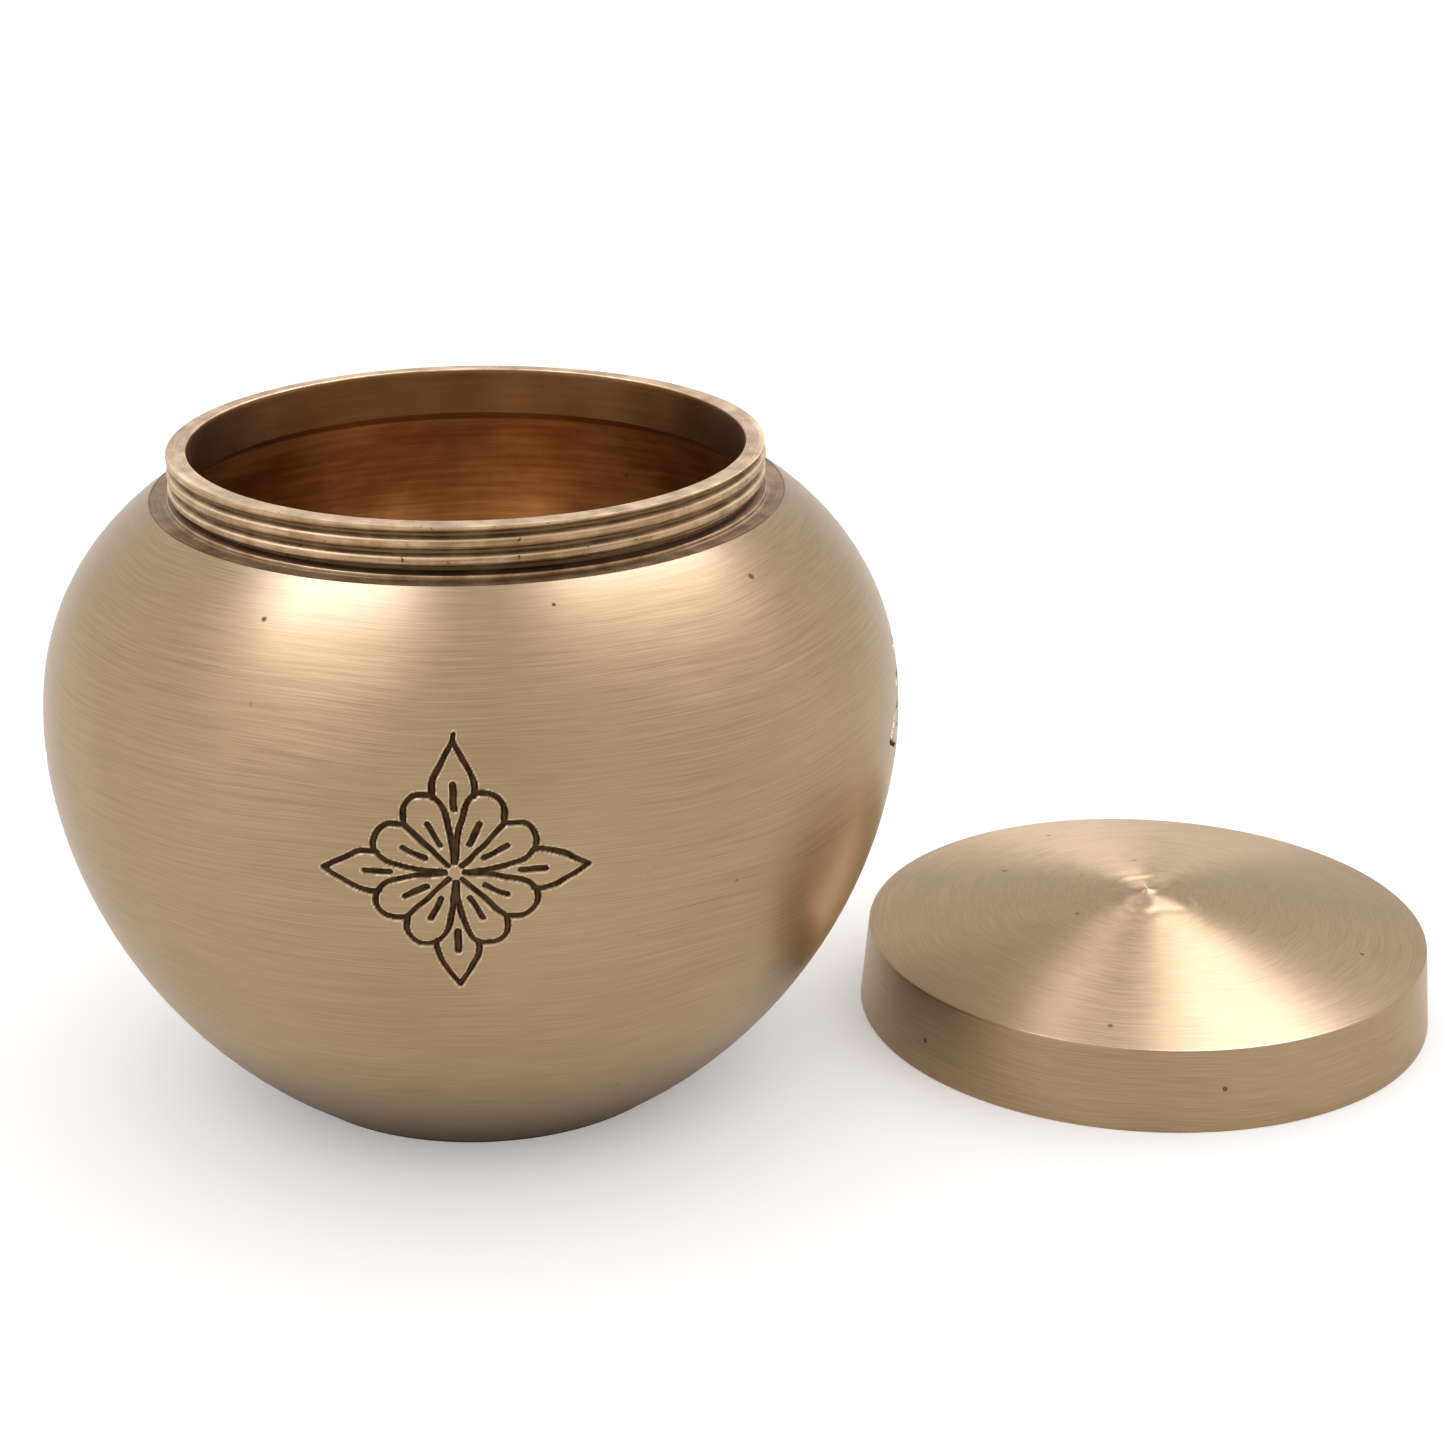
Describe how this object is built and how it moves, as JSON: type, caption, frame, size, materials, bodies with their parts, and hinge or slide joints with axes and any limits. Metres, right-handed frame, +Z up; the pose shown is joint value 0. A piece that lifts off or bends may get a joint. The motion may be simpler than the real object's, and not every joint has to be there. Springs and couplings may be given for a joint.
{
  "type": "brass screw-top jar",
  "caption": "Squat round brushed brass jar with a short threaded neck, open, and its shallow conical screw lid lying beside it; engraved flower on the belly.",
  "frame": {"origin": "centre of the jar's flat base, on the table", "axes": "+Z up along the jar's axis, +X from the jar's axis to the axis of the lid on the table"},
  "size_m": [0.1695, 0.1, 0.0776],
  "materials": {
    "brushed_brass": "brushed round the axis, light wear, engraved lines dark",
    "neck_brass": "as turned, dull and pitted, dark in the thread",
    "lid_brass": "brushed round the axis, satin"
  },
  "bodies": {
    "jar": {"belly_shell": "brushed_brass", "neck_ring": "neck_brass"},
    "lid": {"lid_cap": "lid_brass"}
  },
  "joints": [
    {"name": "lid_lift", "type": "slide", "parent": "jar", "child": "lid", "axis": [0.1736, 0, 0.9848], "range_m": [0, 0.1]}
  ]
}
